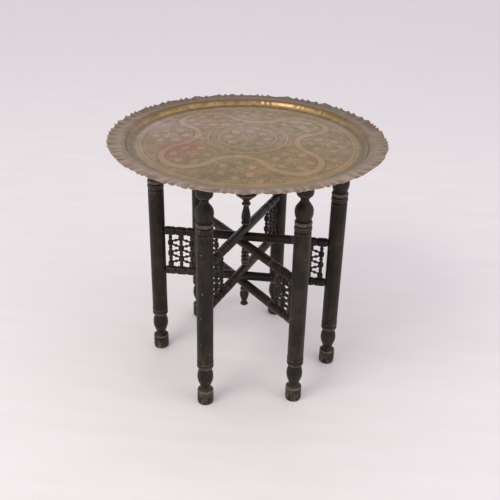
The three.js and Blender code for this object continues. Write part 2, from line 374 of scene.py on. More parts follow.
def wood(name, dark, warm, worn, gloss, wear, feet=False):
    """Turned hardwood under an almost black stain, rubbed through to brown where it stands proud."""
    s = Shader(name)
    point = s.own_point()
    fibre = s.noise(s.scaled(point, (1, 1, 0.07)), 900, detail=4, roughness=0.6)
    streak = s.noise(s.scaled(point, (1, 1, 0.08)), 250, detail=3, roughness=0.6)
    pores = s.noise(s.scaled(point, (1, 1, 0.03)), 2600, detail=2)
    blotch = s.noise(point, 22, detail=4, roughness=0.6)
    scuff = s.noise(s.scaled(point, (1, 1, 0.5)), 130, detail=5, roughness=0.7)
    proud = s.proud()

    colour = s.mix(s.ramp(blotch, 0.42, 0.62), dark, warm)
    colour = s.mix(s.ramp(streak, 0.50, 0.70, 0, 0.60), colour, warm)
    colour = s.mix(s.ramp(streak, 0.46, 0.34, 0, 0.6), colour, (0.0050, 0.0048, 0.0040))
    colour = s.mix(s.ramp(fibre, 0.45, 0.75, 0, 0.5), colour, warm)
    rubbed = s.total(s.product(proud, 0.80), s.product(scuff, 0.9), s.product(blotch, 0.35))
    rubbed = s.ramp(rubbed, 0.80, 1.20, 0, wear)
    if feet:
        height = s.split(s.point())[2]
        low = s.product(s.ramp(height, 0.030, 0.002), s.ramp(scuff, 0.50, 0.60), wear)
        bare = s.product(s.ramp(height, 0.038, 0.030), s.ramp(blotch, 0.50, 0.60), 0.9)
        colour = s.mix(bare, colour, (0.070, 0.042, 0.024))
        rubbed = s.math("MAXIMUM", rubbed, low)
    colour = s.mix(rubbed, colour, worn)
    dust = s.product(s.ramp(proud, -0.2, -0.8), s.ramp(scuff, 0.42, 0.62), 0.25)
    colour = s.mix(dust, colour, (0.075, 0.064, 0.050))

    spots = s.cells(s.drift(point, 90, 0.002), 120)
    rare = s.ramp(s.split(spots["Color"])[0], 0.90, 0.91)
    chip = s.product(s.ramp(spots["Distance"], 0.17, 0.10), rare, s.ramp(scuff, 0.40, 0.50))
    colour = s.mix(s.product(chip, 0.85), colour, (0.34, 0.27, 0.19))

    rough = s.total(s.product(scuff, 0.30), s.product(rubbed, 0.15), gloss - 0.14)
    height = s.total(fibre, s.product(pores, 0.4), s.product(chip, -2.0), s.product(scuff, 0.6))
    return s.finish(colour, rough, s.bump(height, 0.00014), Specular_IOR_Level=0.2)


# ---------------------------------------------------------------- iron

def iron(name):
    s = Shader(name)
    point = s.point()
    grain = s.noise(point, 420, detail=5, roughness=0.7)
    rust = s.ramp(s.noise(point, 90, detail=4), 0.48, 0.62)
    colour = s.mix(rust, (0.06, 0.056, 0.052), (0.12, 0.06, 0.035))
    return s.finish(colour, s.ramp(grain, 0.2, 0.8, 0.45, 0.8), s.bump(grain, 0.0001), Metallic=0.8)


# ---------------------------------------------------------------- brass

def strip(s, distance, half, soft=0.0005):
    """1 where distance is under half, falling to 0 over soft."""
    return s.ramp(distance, half + soft, half)


def line(s, distance, at, half=0.0004):
    """1 on a thin line at the given distance."""
    return strip(s, s.apart(distance, at), half, 0.0003)


def either(s, *values):
    result = values[0]
    for value in values[1:]:
        result = s.math("MAXIMUM", result, value)
    return result


def polar(s, x, y):
    """Distance from the origin and angle round it."""
    reach = s.math("SQRT", s.total(s.product(x, x), s.product(y, y)))
    return reach, s.math("ARCTAN2", y, x)


def lobed_distance(s, x, y):
    """How far outside the middle of the lobed band a point is."""
    along, across = s.math("ABSOLUTE", x), s.math("ABSOLUTE", y)
    a, b = s.math("MAXIMUM", along, across), s.math("MINIMUM", along, across)
    to_lobe = polar(s, s.minus(a, LOBE_CENTRE), s.minus(b, LOBE_CENTRE))[0]
    to_hollow = polar(s, s.minus(a, HOLLOW_CENTRE), b)[0]
    # The arcs meet on the line through the two centres.
    slope = LOBE_CENTRE / (HOLLOW_CENTRE - LOBE_CENTRE)
    beyond = s.total(s.product(s.minus(a, LOBE_CENTRE), slope), b)
    outside = s.math("GREATER_THAN", beyond, LOBE_CENTRE)
    by_lobe = s.minus(to_lobe, LOBE_RADIUS)
    by_hollow = s.minus(HOLLOW_RADIUS, to_hollow)
    difference = s.minus(by_lobe, by_hollow)
    return s.math("MULTIPLY_ADD", difference, outside, by_hollow)


def petals(s, reach, angle, count, inner, outer, turn=0.0):
    """How far a point is outside a flower with this many petals."""
    wave = s.math("COSINE", s.math("MULTIPLY_ADD", angle, count, turn))
    edge = s.math("MULTIPLY_ADD", wave, (outer - inner) / 2, (outer + inner) / 2)
    return s.minus(reach, edge)


def fill_and_rim(s, past):
    """The inside of a shape, and the line cut along its edge."""
    return s.ramp(past, 0.0003, -0.0003), strip(s, s.math("ABSOLUTE", past), 0.0004, 0.0003)


def blossoms(s, point, scale, size, count, share):
    """Flowers, one to a cell in this share of the cells: their area, and their outline."""
    cell = s.cells(point, scale, "2D")
    x, y, _ = s.split(s.vector("SUBTRACT", point, cell["Position"]))
    chance, other, _ = s.split(cell["Color"])
    reach, angle = polar(s, x, y)
    fill, rim = fill_and_rim(s, petals(s, reach, angle, count, 0.45 * size, size, s.product(chance, 20.0)))
    present = s.math("LESS_THAN", other, share)
    return s.product(fill, present), s.product(either(s, rim, line(s, reach, 0.2 * size)), present)


def scrolls(s, point, scale, pitch):
    """Leafy spirals, one to a cell: their stems and leaves."""
    cell = s.cells(point, scale, "2D")
    x, y, _ = s.split(s.vector("SUBTRACT", point, cell["Position"]))
    chance = s.split(cell["Color"])[2]
    reach, angle = polar(s, x, y)
    hand = s.math("SIGN", s.minus(chance, 0.5))
    turns = s.product(angle, hand, 1 / (2 * math.pi))
    place = s.math("FRACT", s.total(s.product(reach, 1 / pitch), turns, s.product(chance, 9.0)))
    off = s.apart(place, 0.5)
    leafy = s.math("COSINE", s.total(s.product(angle, 6.0), s.product(reach, 900.0)))
    width = s.math("MULTIPLY_ADD", leafy, 0.13, 0.19)
    past = s.product(s.minus(off, width), pitch)
    return s.ramp(past, 0.0002, -0.0003), strip(s, s.math("ABSOLUTE", past), 0.00025, 0.0003)


def roundels(s, x, y, centre_x, centre_y):
    """Place in the nearest of the roundels that stand at plus and minus this centre."""
    return polar(s, s.minus(s.math("ABSOLUTE", x), centre_x),
                 s.minus(s.math("ABSOLUTE", y), centre_y))


def engraving(s, point):
    """The engraved floor: plain bands, cut lines, light leaves and flowers, and the ground between."""
    x, y, _ = s.split(s.drift(s.drift(point, 22, 0.0022), 80, 0.0010))
    radius, angle = polar(s, x, y)
    lobed = lobed_distance(s, x, y)
    off_band = s.math("ABSOLUTE", lobed)
    bands = strip(s, off_band, BAND_HALF)
    cuts = either(s, line(s, off_band, BAND_HALF + 0.0008), line(s, off_band, BAND_HALF + 0.0026, 0.0002))
    for at in RINGS:
        off_ring = s.apart(radius, at)
        bands = either(s, bands, strip(s, off_ring, RING_HALF))
        cuts = either(s, cuts, line(s, off_ring, RING_HALF + 0.0007))

    # Flowers in the middle, in the four lobes and in the four hollows.
    side_x, side_y = s.math("ABSOLUTE", x), s.math("ABSOLUTE", y)
    ahead, aside = s.math("MAXIMUM", side_x, side_y), s.math("MINIMUM", side_x, side_y)
    groups = (
        (radius, angle, 8, RINGS[0]),
        (*roundels(s, x, y, LOBE_CENTRE, LOBE_CENTRE), 6, ROUNDEL_RADIUS),
        (*roundels(s, ahead, aside, SIDE_ROUNDEL_CENTRE, 0), 6, SIDE_ROUNDEL_RADIUS),
    )
    light = 0.0
    covered = 0.0
    for reach, way, count, size in groups:
        heart, heart_rim = fill_and_rim(s, petals(s, reach, way, count, 0.12 * size, 0.38 * size))
        # Leaves stand in a ring round the flower.
        turned_by = s.math("ABSOLUTE", s.math("SINE", s.product(way, count / 2)))
        off_ring = s.apart(reach, 0.68 * size)
        leaf = s.minus(s.math("MULTIPLY_ADD", turned_by, 0.24 * size, off_ring), 0.23 * size)
        leaves, leaves_rim = fill_and_rim(s, leaf)
        core = line(s, reach, 0.07 * size)
        inside = s.ramp(reach, size, size - 0.0015)
        bands = either(s, bands, s.product(line(s, reach, size, 0.0007), 0.7))
        light = either(s, s.product(either(s, heart, leaves), inside), light)
        cuts = either(s, cuts, s.product(either(s, heart_rim, leaves_rim, core), inside))
        covered = either(s, covered, s.product(s.ramp(reach, 0.86 * size, 0.80 * size), 0.8))

    # A row of leaves stands inside the outer ring.
    step = s.math("SINE", s.product(angle, BORDER_LEAVES / 2))
    off_row = s.apart(radius, RINGS[2] - 0.0105)
    leaf = s.minus(s.math("MULTIPLY_ADD", s.math("ABSOLUTE", step), 0.0070, off_row), 0.0048)
    row, row_rim = fill_and_rim(s, leaf)
    light, cuts = either(s, light, row), either(s, cuts, row_rim)

    # Scrolls and small flowers fill the rest.
    free = s.minus(1.0, either(s, bands, covered))
    inside = s.ramp(radius, RINGS[2] - 0.0020, RINGS[2] - 0.0030)
    free = s.product(free, inside)
    wandering = s.drift(point, 18, 0.005)
    flowers, flowers_rim = blossoms(s, wandering, 34, 0.0080, 5, 0.6)
    stems, stems_rim = scrolls(s, wandering, 46, 0.0062)
    apart = s.minus(1.0, flowers)
    light = either(s, light, s.product(either(s, flowers, s.product(stems, apart, 0.75)), free))
    cuts = either(s, cuts, s.product(either(s, flowers_rim, s.product(stems_rim, apart)), free))
    light = s.product(light, s.minus(1.0, bands))
    hatch = s.ramp(s.math("SINE", s.product(s.total(x, y), 4200)), 0.0, 0.9)
    ground = s.product(s.minus(1.0, either(s, light, bands)), inside)
    cuts = either(s, cuts, s.product(hatch, ground, 0.5))
    return bands, cuts, light, ground


def stain_at(s, point, x, y, reach):
    """A soft-edged stain on the tray."""
    away = s.vector("LENGTH", s.vector("SUBTRACT", point, (x, y, 0)))
    return s.ramp(away, reach, 0.25 * reach)


def brass(name):
    """Old brass: engraved and tarnished on the floor, with a painted golden reflection on the wall at the
    tray's back, dull on the fluted rim.
    """
    s = Shader(name)
    point = s.point()
    x, y, _ = s.split(point)
    radius, angle = polar(s, x, y)
    flat = s.add("ShaderNodeCombineXYZ", {0: x, 1: y}).outputs[0]
    upper = s.add("ShaderNodeAttribute", attribute_name="upper").outputs["Fac"]
    bands, cuts, light, ground = (s.product(mark, upper) for mark in engraving(s, flat))

    cloud = s.noise(point, 9, detail=5, roughness=0.65)
    stain = s.noise(s.vector("ADD", point, (3, 1, 2)), 17, detail=6, roughness=0.7)
    mottle = s.noise(s.vector("ADD", point, (5, 4, 1)), 60, detail=4, roughness=0.6)
    grain = s.noise(point, 260, detail=5, roughness=0.7)
    uneven = s.drift(s.drift(flat, 45, 0.012), 14, 0.03)
    pinkish, olive, golden = (0.540, 0.390, 0.285), (0.430, 0.330, 0.180), (0.460, 0.290, 0.115)
    reddish, pale = (0.440, 0.200, 0.110), (0.640, 0.550, 0.450)
    colour = s.mix(s.ramp(s.total(cloud, s.product(mottle, 0.35)), 0.50, 0.82), pinkish, olive)
    front = s.ramp(s.total(s.product(y, -1.0), s.product(x, 0.45), s.product(cloud, 0.12)), -0.06, 0.24)
    toward_front = s.mix(s.ramp(stain, 0.45, 0.60), (0.310, 0.232, 0.095), golden)
    colour = s.mix(s.product(front, 0.75), colour, toward_front)
    colour = s.mix(s.ramp(stain, 0.54, 0.70, 0, 0.5), colour, reddish)
    for at_x, at_y, reach, tint, strength in (
        (-0.132, -0.076, 0.078, reddish, 0.75), (-0.100, 0.125, 0.085, reddish, 0.40),
        (0.110, -0.115, 0.110, golden, 0.50), (0.098, 0.140, 0.022, pale, 0.8),
        (0.112, 0.090, 0.028, pale, 0.5), (-0.200, 0.072, 0.026, pale, 0.7),
    ):
        colour = s.mix(s.product(stain_at(s, uneven, at_x, at_y, reach), strength), colour, tint)
    shade = s.mix(0.42, colour, (0.150, 0.125, 0.085))
    glint = s.mix(0.32, colour, (0.680, 0.510, 0.340))
    colour = s.mix(s.product(ground, s.ramp(mottle, 0.3, 0.7, 0.25, 0.75)), colour, shade)
    colour = s.mix(s.product(light, s.ramp(stain, 0.3, 0.7, 0.2, 0.9)), colour, glint)
    shown = s.math("MULTIPLY_ADD", front, 0.35, s.ramp(cloud, 0.35, 0.65, 0.05, 0.30))
    colour = s.mix(s.product(bands, shown), colour, glint)
    colour = s.mix(s.product(cuts, s.ramp(mottle, 0.3, 0.7, 0.25, 0.55)), colour, (0.130, 0.100, 0.068))

    # Painted shade: a dark olive band along the foot of the wall, where it meets the floor.
    foot = s.ramp(radius, FLOOR_RADIUS - 0.012, FLOOR_RADIUS - 0.001)
    foot = s.product(foot, s.ramp(radius, 0.2490, 0.2445))
    outer = s.ramp(radius, FLOOR_RADIUS + 0.001, FLOOR_RADIUS + 0.006)
    rim = s.ramp(s.total(radius, s.product(s.minus(cloud, 0.5), 0.03)), 0.256, 0.272)
    # Painted reflection: on the wall at the tray's back the colour is bright gold low down and dark brown
    # towards the rim; elsewhere the wall is dull brass.
    painted_reflection_back = s.ramp(s.total(y, s.product(x, -0.15), s.product(stain, 0.16)), 0.10, 0.26)
    high = s.ramp(s.total(radius, s.product(mottle, 0.006)), 0.2505, 0.2580)
    painted_wall_reflection = s.mix(high, (0.560, 0.350, 0.135), (0.225, 0.135, 0.058))
    dull = s.mix(s.ramp(stain, 0.40, 0.60), (0.315, 0.220, 0.138), (0.250, 0.172, 0.088))
    wall = s.mix(painted_reflection_back, dull, painted_wall_reflection)
    colour = s.mix(s.product(outer, 0.92), colour, wall)
    colour = s.mix(s.product(outer, s.ramp(mottle, 0.42, 0.68), 0.5), colour, (0.215, 0.150, 0.072))
    colour = s.mix(s.product(foot, s.ramp(mottle, 0.3, 0.6, 0.45, 0.80)), colour, (0.190, 0.150, 0.078))
    far = s.ramp(s.total(y, s.product(stain, 0.3)), 0.05, 0.34)
    lip = s.mix(far, (0.480, 0.350, 0.245), (0.225, 0.152, 0.088))
    colour = s.mix(s.product(rim, s.ramp(stain, 0.35, 0.6, 0.97, 0.72)), colour, lip)
    # Painted shade darkens the flute valleys of the rim.
    valley = s.ramp(s.proud(), 0.2, -0.8)
    crest = s.ramp(s.proud(), 0.20, 0.95)
    colour = s.mix(s.product(valley, s.ramp(mottle, 0.3, 0.6, 0.3, 1.0), 0.65), colour, (0.120, 0.095, 0.070))
    colour = s.mix(s.product(crest, s.ramp(mottle, 0.35, 0.65), 0.55), colour, (0.560, 0.450, 0.350))
    facing = s.math("COSINE", s.minus(angle, 0.45))
    green = s.product(s.ramp(radius, 0.260, 0.276), s.ramp(facing, 0.80, 0.98), s.ramp(stain, 0.46, 0.60))
    colour = s.mix(s.product(green, 0.60), colour, (0.330, 0.360, 0.250))
    colour = s.mix(s.ramp(grain, 0.50, 0.75, 0, 0.35), colour, (0.170, 0.135, 0.095))

    rough = s.total(0.30, s.product(grain, 0.16), s.product(cloud, 0.14), s.product(cuts, 0.12))
    rough = s.total(rough, s.product(outer, -0.12), s.product(rim, 0.10), s.product(green, 0.25))
    normal = s.bump(s.noise(point, 55, detail=1), 0.0010)
    relief = s.total(s.product(light, 0.5), s.product(bands, 0.4), s.product(grain, 0.4))
    relief = s.minus(relief, cuts)
    return s.finish(colour, rough, s.bump(relief, 0.00025, normal), Metallic=1.0)


# ---------------------------------------------------------------- tray

def floor_rise(radius):
    """The crown, eased over a few millimetres where it meets the flat edge."""
    near = np.abs(radius + np.linspace(-0.007, 0.007, 9))
    return FLOOR_CROWN * np.mean(1 - np.minimum(near / BEARING_RADIUS, 1) ** CROWN_POWER)


def tray_profile():
    """The upper face of the sheet from near the centre outwards, closer together where it bends."""
    radii = [np.arange(1, 15) * 0.003, np.arange(0.045, 0.0905, 0.0026)]
    radii.append(np.arange(0.0933, FLOOR_RADIUS, 0.0030))
    radii += [ring + np.array([-0.0034, -0.0020, 0.0020, 0.0034]) for ring in RINGS]
    radii = np.sort(np.concatenate(radii))
    radii = radii[np.append(np.diff(radii) > 0.0009, True)]
    floor = [(radius, floor_rise(radius)) for radius in radii if radius < FLOOR_RADIUS - 0.001]
    wall = spline([
        (FLOOR_RADIUS, 0), (0.2458, 0.0007), (0.2498, 0.0030), (0.2526, 0.0066), (0.2552, 0.0098),
        (0.2596, 0.0117), (0.2680, RIM_RISE - 0.0022), (0.2800, RIM_RISE - 0.0012),
        (EDGE_RADIUS - SHEET / 2 - 0.0002, RIM_RISE),
    ], 0.0020)
    return np.vstack([floor, wall])


def ring_sides(radius, is_upper):
    """How many points a ring has. Rings side by side have as many, twice as many or half as many."""
    steps = UPPER_STEPS if is_upper else UNDER_STEPS
    return 2 * SCALLOPS * 2 ** sum(radius > step for step in steps)


class Scallops:
    """The uneven hand-crimped edge: how far it draws in, and how far it lifts, at each angle."""

    def __init__(self, chance):
        self.depth = np.array([chance.uniform(0.30, 1.0) for _ in range(SCALLOPS)]) * SCALLOP_DEPTH
        self.bend = np.array([chance.uniform(-1, 1) for _ in range(SCALLOPS)])
        self.waves = [(order, chance.uniform(0, 2 * math.pi)) for order in (2, 3, 5, 9, 14)]

    def wave(self, angle):
        return sum(np.sin(order * angle + phase) for order, phase in self.waves) / len(self.waves)

    def phase(self, angle):
        """Whole at each crest. The crests are not evenly spaced."""
        spots = [Vector((math.cos(a), math.sin(a), 0.2)) * 9 for a in np.atleast_1d(angle)]
        shift = np.array([noise.noise(spot) for spot in spots])
        return (angle * SCALLOPS / (2 * math.pi) + 0.40 * self.wave(angle) + 0.9 * shift) % SCALLOPS

    def draw(self, angle):
        """Pointed crests, and round valleys between them."""
        phase = self.phase(angle)
        depth = self.depth[phase.astype(int) % SCALLOPS]
        return depth * (np.sqrt(np.sin(math.pi * phase) ** 2 + 0.006) - 0.077) / 0.926

    def flute(self, angle):
        """1 on a crest and -1 in a valley."""
        return 1 - 2 * np.abs(np.sin(math.pi * self.phase(angle))) ** 0.8

    def lift(self, angle):
        bend = self.bend[np.round(self.phase(angle)).astype(int) % SCALLOPS]
        return FLUTE_HEIGHT * (self.flute(angle) + 0.30 * bend)


def lobed_offset(x, y):
    """How far outside the middle of the lobed band points are, as the shader has it."""
    a, b = np.maximum(abs(x), abs(y)), np.minimum(abs(x), abs(y))
    by_lobe = np.hypot(a - LOBE_CENTRE, b - LOBE_CENTRE) - LOBE_RADIUS
    by_hollow = HOLLOW_RADIUS - np.hypot(a - HOLLOW_CENTRE, b)
    beyond = (a - LOBE_CENTRE) * LOBE_CENTRE / (HOLLOW_CENTRE - LOBE_CENTRE) + b > LOBE_CENTRE
    return np.where(beyond, by_lobe, by_hollow)


def band_relief(radius, x, y):
    """The soft raised bands of the engraving."""
    relief = np.clip(1 - (abs(lobed_offset(x, y)) - BAND_HALF) / 0.002, 0, 1)
    for ring in RINGS:
        relief = np.maximum(relief, np.clip(1 - (abs(radius - ring) - RING_HALF) / 0.0015, 0, 1))
    return relief


def tray_ring(radius, height, scallops, is_upper):
    """One ring of the sheet with its hammer marks, bands, flutes and scallops, and how proud it stands."""
    sides = ring_sides(radius, is_upper)
    angle = np.arange(sides) * 2 * math.pi / sides
    out = np.clip((radius - FLUTE_START) / (EDGE_RADIUS - FLUTE_START), 0, 1)
    nicks = np.array([noise.noise(Vector((math.cos(a), math.sin(a), 0.5)) * 95) for a in angle])
    reach = radius - scallops.draw(angle) * out**1.5 - EDGE_NICK * np.abs(nicks) * out**3
    x, y = reach * np.cos(angle), reach * np.sin(angle)
    dents = np.array([noise.noise(Vector((a, b, 0.3)) * 38) for a, b in zip(x, y)])
    sway = np.array([noise.noise(Vector((a, b, 1.7)) * 7) for a, b in zip(x, y)])
    on_rim = np.clip((radius - 0.258) / 0.02, 0, 1)
    lift = DENT_DEPTH * dents + SWAY_DEPTH * sway * (1 - on_rim) + scallops.lift(angle) * out**1.1
    lift = lift + RIM_WAVE * on_rim * scallops.wave(angle) + NICK_LIFT * nicks * out**3
    if radius < FLOOR_RADIUS and is_upper:
        lift = lift + BAND_HEIGHT * band_relief(radius, x, y)
    if radius < FLOOR_RADIUS and not is_upper:
        lift = np.maximum(lift, 0)  # clear of the legs' tops
    on_wall = math.exp(-((radius - 0.2525) / 0.005) ** 2)
    scale = 1 + RIPPLE_DEPTH * np.sin(SCALLOPS * angle + 6 * dents) * on_wall / radius
    ring = np.stack([x * scale, y * scale, height + lift], 1)
    return ring, scallops.flute(angle) * out**0.6


def tray_surface(base):
    """The whole sheet, from the middle of its underside out round the rim's edge to the middle of its top,
    with how proud each point is and whether it is on the upper face."""
    upper = tray_profile()
    tangent = np.gradient(upper, axis=0)
    tangent /= np.linalg.norm(tangent, axis=1)[:, None]
    normal = np.stack([-tangent[:, 1], tangent[:, 0]], 1)
    lower = upper - normal * SHEET
    edge = upper[-1] - normal[-1] * SHEET / 2 + tangent[-1] * SHEET / 2
    under = [point for i, point in enumerate(lower) if i % 3 == 0 or point[0] > 0.2430 and i % 2 == 0]
    stations = [(*point, False) for point in under]
    stations += [(*edge, True)] + [(*point, True) for point in upper[::-1]]
    scallops = Scallops(random.Random(SEED))
    rings = [np.array([[0, 0, base + FLOOR_CROWN - SHEET]])]
    proud = [np.zeros(1)]
    upper_side = [np.zeros(1)]
    for radius, height, is_upper in stations:
        ring, stands = tray_ring(radius, base + height, scallops, is_upper)
        rings.append(ring)
        proud.append(stands)
        upper_side.append(np.full(len(ring), float(is_upper)))
    rings.append(np.array([[0, 0, base + floor_rise(0)]]))
    proud.append(np.zeros(1))
    upper_side.append(np.ones(1))
    vertices, faces = skin(rings)
    vertices[:, 2] = np.minimum(vertices[:, 2], base + CREST_RISE)
    return (vertices, faces, np.concatenate(proud)), np.concatenate(upper_side)


def make_tray():
    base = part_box("tray")[1].z - CREST_RISE
    surface, upper_side = tray_surface(base)
    mesh = mesh_of("tray_sheet", surface, brass("old_brass"))
    mesh.attributes.new("upper", "FLOAT", "POINT").data.foreach_set("value", upper_side.astype(np.float32))
    show("tray_sheet", mesh, "tray", "tray")


# ---------------------------------------------------------------- legs

def leg_profile(top):
    strokes = [
        [(0, 0), (0.0168, 0)],
        [(0.0168, 0), (0.0174, 0.0030), (0.0176, 0.0180), (0.0175, 0.0322)],
        [(0.0175, 0.0322), (0.0150, 0.0346), (0.0124, 0.0362), (0.0108, 0.0382), (0.0105, 0.0405),
         (0.0114, 0.0445), (0.0139, 0.0515), (0.0164, 0.0595), (0.0175, 0.0675), (0.0171, 0.0745),
         (0.0157, 0.0815), (0.0136, 0.0880), (0.0129, 0.0915)],
        [(0.0129, 0.0915), (0.0150, 0.0924), (0.0172, 0.0940), (0.0179, 0.0965), (0.0180, 0.0995),
         (0.0174, 0.1022), (0.0160, 0.1035)],
        [(0.0160, 0.1035), (0.0174, 0.1047), (0.0180, 0.1068), (0.0180, 0.1098), (0.0174, 0.1120),
         (0.0163, 0.1133)],
        [(0.0163, 0.1133), (0.0175, 0.1145)],
        [(0.0175, 0.1145), (LEG_RADIUS, 0.4148)],
        [(LEG_RADIUS, 0.4148), (0.0170, 0.4162), (0.0152, 0.4176)],
        [(0.0152, 0.4176), (0.0168, 0.4190), (0.0180, 0.4220), (0.0181, 0.4260), (0.0172, 0.4295),
         (0.0149, 0.4311)],
        [(0.0149, 0.4311), (0.0170, 0.4325), (0.0181, 0.4350), (0.0180, 0.4380), (0.0169, 0.4405),
         (0.0141, 0.4418)],
        [(0.0141, 0.4418), (0.0151, 0.4442), (0.0171, 0.4495), (0.0184, 0.4548), (0.0190, 0.4605),
         (0.0186, 0.4655), (0.0168, 0.4712), (0.0136, 0.4762), (0.0104, 0.4808), (0.0087, 0.4846),
         (0.0088, 0.4876), (0.0106, 0.4909), (0.0137, 0.4938), (0.0163, 0.4968), (0.0174, 0.5000)],
        [(0.0174, 0.5000), (LEG_RADIUS, 0.5025), (LEG_RADIUS, top - 0.0012)],
        [(LEG_RADIUS, top - 0.0012), (0.0166, top)],
        [(0.0166, top), (0, top)],
    ]
    return outline(strokes, step=0.0014)


def make_legs():
    material = wood("leg_stain", dark=(0.0110, 0.0102, 0.0064), warm=(0.032, 0.0225, 0.0135),
                    worn=(0.165, 0.134, 0.104), gloss=0.42, wear=0.75, feet=True)
    surface = turned(leg_profile(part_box("leg_a1")[1].z), LEG_SIDES, reach=0.0042)
    mesh = mesh_of("leg", roughened(surface, amount=0.00012, size=0.02), material)
    for name in FRAME_NAMES:
        for number in (1, 2):
            node = f"leg_{name}{number}"
            spot = centre(node)
            facing = math.atan2(spot.y, spot.x)
            foot = (spot.x, spot.y, 0)
            show(f"{node}_turned", mesh, node, f"frame_{name}", foot, (0, 0, facing))


# ---------------------------------------------------------------- rails

def barrel(start):
    """One barrel of a rail's end, as a stroke along the rail."""
    end = start + BARREL_LENGTH
    radius = BARREL_RADIUS
    return [(GROOVE_RADIUS, start), (radius - 0.0009, start + 0.0012), (radius - 0.0002, start + 0.0038),
            (radius, (start + end) / 2), (radius - 0.0002, end - 0.0038), (radius - 0.0009, end - 0.0012),
            (GROOVE_RADIUS, end)]


def rail_profile(face):
    """A rail between two legs whose near sides are this far from the pivot, with its two tenons."""
    start = face - BARREL_COUNT * BARREL_LENGTH
    half = [
        [(RAIL_RADIUS, 0), (RAIL_RADIUS, start - 0.0095)],
        [(RAIL_RADIUS, start - 0.0095), (0.0090, start - 0.0086), (0.0100, start - 0.0074)],
        [(0.0100, start - 0.0074), (0.0105, start - 0.0058), (0.0100, start - 0.0042)],
        [(0.0100, start - 0.0042), (0.0088, start - 0.0034), (0.0098, start - 0.0026)],
        [(0.0098, start - 0.0026), (0.0090, start - 0.0010), (GROOVE_RADIUS, start)],
        *[barrel(start + number * BARREL_LENGTH) for number in range(BARREL_COUNT)],
        [(GROOVE_RADIUS, face), (0.0072, face + TENON_LENGTH)],
        [(0.0072, face + TENON_LENGTH), (0, face + TENON_LENGTH)],
    ]
    end = outline(half, step=0.0013)
    return np.vstack([end[:0:-1] * (1, -1), end])


def make_rails():
    material = wood("rail_stain", dark=(0.0105, 0.0090, 0.0066), warm=(0.034, 0.021, 0.013),
                    worn=(0.160, 0.108, 0.074), gloss=0.30, wear=0.65)
    face = centre("leg_a1").x - LEG_RADIUS
    surface = turned(rail_profile(face), RAIL_SIDES)
    mesh = mesh_of("rail", roughened(surface, amount=0.0001, size=0.02), material)
    for name in FRAME_NAMES:
        end = centre(f"leg_{name}1")
        heading = math.atan2(end.y, end.x)
        for level in ("upper", "lower"):
            node = f"rail_{name}_{level}"
            middle = (0, 0, centre(node).z)
            turn = (0, math.pi / 2, heading)
            show(f"{node}_turned", mesh, node, f"frame_{name}", middle, turn)


# ---------------------------------------------------------------- lattice

def bead_height(index):
    return (index - (BEAD_COUNT - 1) / 2) * BEAD_PITCH


def stick_strokes(half, big_first):
    """A beaded stick, centred midway between its rails. Big and small beads take turns."""
    end = STICK_END_RADIUS
    foot = -half - PEG_LENGTH
    joint = (end, -half + 0.0004)
    strokes = [[(0, foot), (end, foot)], [(end, foot), joint]]
    for index in range(BEAD_COUNT):
        height = bead_height(index)
        if (index % 2 == 0) == big_first:
            reach, next_reach = BIG_BEAD_REACH, SMALL_BEAD_REACH
            radius, full = BIG_BEAD_RADIUS, BIG_BEAD_HALF
            bead = [(radius - 0.0009, height - full - 0.0004), (radius, height - 0.4 * full),
                    (radius, height + 0.4 * full), (radius - 0.0009, height + full + 0.0004)]
        else:
            reach, next_reach = SMALL_BEAD_REACH, BIG_BEAD_REACH
            radius = SMALL_BEAD_RADIUS
            bead = [(radius - 0.0006, height - 0.0021), (radius, height), (radius - 0.0006, height + 0.0021)]
        after = height + reach
        last = index == BEAD_COUNT - 1
        tip = (end, half - 0.0004) if last else (WAIST_RADIUS, after)
        if last and after < half - 0.002:
            bead.append((WAIST_RADIUS, after))
        strokes.append([joint, *bead, tip])
        if not last:
            following = bead_height(index + 1) - next_reach
            if following - after > 0.0005:
                strokes.append([tip, (WAIST_RADIUS, following)])
                tip = (WAIST_RADIUS, following)
        joint = tip
    strokes.append([joint, (end, half + PEG_LENGTH)])
    strokes.append([(end, half + PEG_LENGTH), (0, half + PEG_LENGTH)])
    return strokes


def stick(half, big_first):
    return turned(outline(stick_strokes(half, big_first), step=0.0011), STICK_SIDES, reach=0.0025)


def link(start, end):
    """A short turned link with a ball at its middle, between two points in the plane of the frame."""
    start, end = Vector(start), Vector(end)
    length = (end - start).length
    middle = length / 2
    thin, ball, foot = LINK_RADIUS, LINK_BALL_RADIUS, LINK_RADIUS + 0.0006
    profile = outline([
        [(0, 0), (foot, 0)],
        [(foot, 0), (thin, 0.0018), (thin, middle - 0.0036)],
        [(thin, middle - 0.0036), (ball - 0.0006, middle - 0.0021), (ball, middle),
         (ball - 0.0006, middle + 0.0021), (thin, middle + 0.0036)],
        [(thin, middle + 0.0036), (thin, length - 0.0018), (foot, length)],
        [(foot, length), (0, length)],
    ], step=0.0009)
    points, faces, proud = turned(profile, LINK_SIDES, reach=0.0015)
    turn = (end - start).to_track_quat("Z", "Y").to_matrix()
    return points @ np.array(turn).T + np.array(start), faces, proud


def lattice_core(half):
    """The middle stick of a panel with its ten links."""
    surfaces = [stick(half, False)]
    root = BIG_BEAD_RADIUS - 0.0010
    for side in (-1, 1):
        for index in range(BEAD_COUNT - 1):
            lower = bead_height(index) + BIG_BEAD_HALF
            upper = bead_height(index + 1) - BIG_BEAD_HALF
            own, other = (lower, upper) if index % 2 == 1 else (upper, lower)
            surfaces.append(link((side * root, 0, own), (side * (BARREL_LENGTH - root), 0, other)))
    return joined(surfaces)


